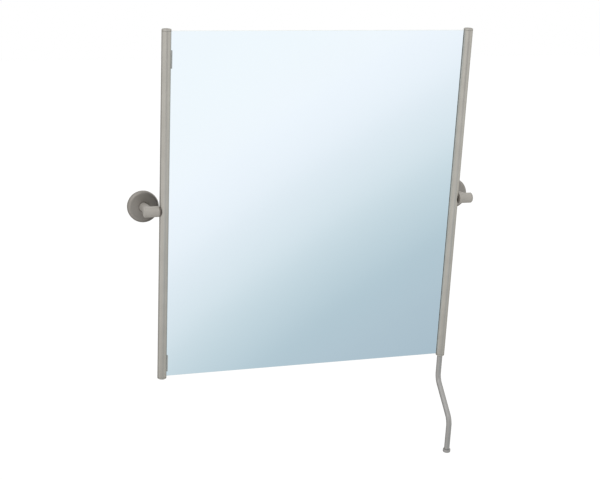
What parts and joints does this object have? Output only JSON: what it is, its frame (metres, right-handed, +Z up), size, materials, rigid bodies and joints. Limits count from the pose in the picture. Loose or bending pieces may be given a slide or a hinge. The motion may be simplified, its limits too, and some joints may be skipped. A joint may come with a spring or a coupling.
{
  "type": "pivot wall mirror",
  "caption": "Rectangular wall mirror in round metal side rails that pivot on wall posts, tilted by a bent rod handle under one rail.",
  "frame": {"origin": "on the wall plane, midway between the posts, at the height of the pivots; centre of the wall screw pattern", "axes": "+Z up, +Y into the wall, +X to the right seen from the room"},
  "size_m": [0.6356, 0.1178, 0.7885],
  "materials": {
    "satin_nickel": "satin nickel plate, fine even grain",
    "zinc_steel": "zinc plated steel",
    "mirror": "silvered float glass with seamed edges",
    "backing": "grey protective film behind the silvering",
    "dark_rubber": "matt dark elastomer",
    "grey_plastic": "moulded grey-green plastic, slightly glossy"
  },
  "bodies": {
    "wall_posts": {"wall_bracket_left": "zinc_steel", "wall_bracket_right": "zinc_steel", "flange_left": "satin_nickel", "flange_right": "satin_nickel", "post_left": "satin_nickel", "post_right": "satin_nickel", "stem_screw_left": "zinc_steel", "stem_screw_right": "zinc_steel", "set_screw_left": "zinc_steel", "set_screw_right": "zinc_steel", "barrel_cap_left": "satin_nickel", "barrel_cap_right": "satin_nickel"},
    "mirror_leaf": {"mirror_glass": "mirror", "mirror_backing": "backing", "rail_left": "satin_nickel", "rail_right": "satin_nickel", "glazing_strip_left": "dark_rubber", "glazing_strip_right": "dark_rubber", "keeper_clip_upper": "grey_plastic", "keeper_clip_lower": "grey_plastic", "rail_cap_top_left": "satin_nickel", "rail_cap_top_right": "satin_nickel", "rail_cap_bottom_left": "satin_nickel", "handle_socket_cap": "satin_nickel", "pivot_insert_left": "zinc_steel", "pivot_insert_right": "zinc_steel", "pivot_stud_left": "zinc_steel", "pivot_stud_right": "zinc_steel", "saddle_washer_left": "dark_rubber", "saddle_washer_right": "dark_rubber", "spring_washer_left": "zinc_steel", "spring_washer_right": "zinc_steel", "lock_nut_left": "zinc_steel", "lock_nut_right": "zinc_steel", "handle_rod": "satin_nickel", "handle_knob": "satin_nickel"}
  },
  "joints": [
    {"name": "mirror_tilt", "type": "hinge", "parent": "wall_posts", "child": "mirror_leaf", "pos_m": [0, -0.065, 0], "axis": [-1, 0, 0], "range_deg": [-1, 17.8]}
  ]
}
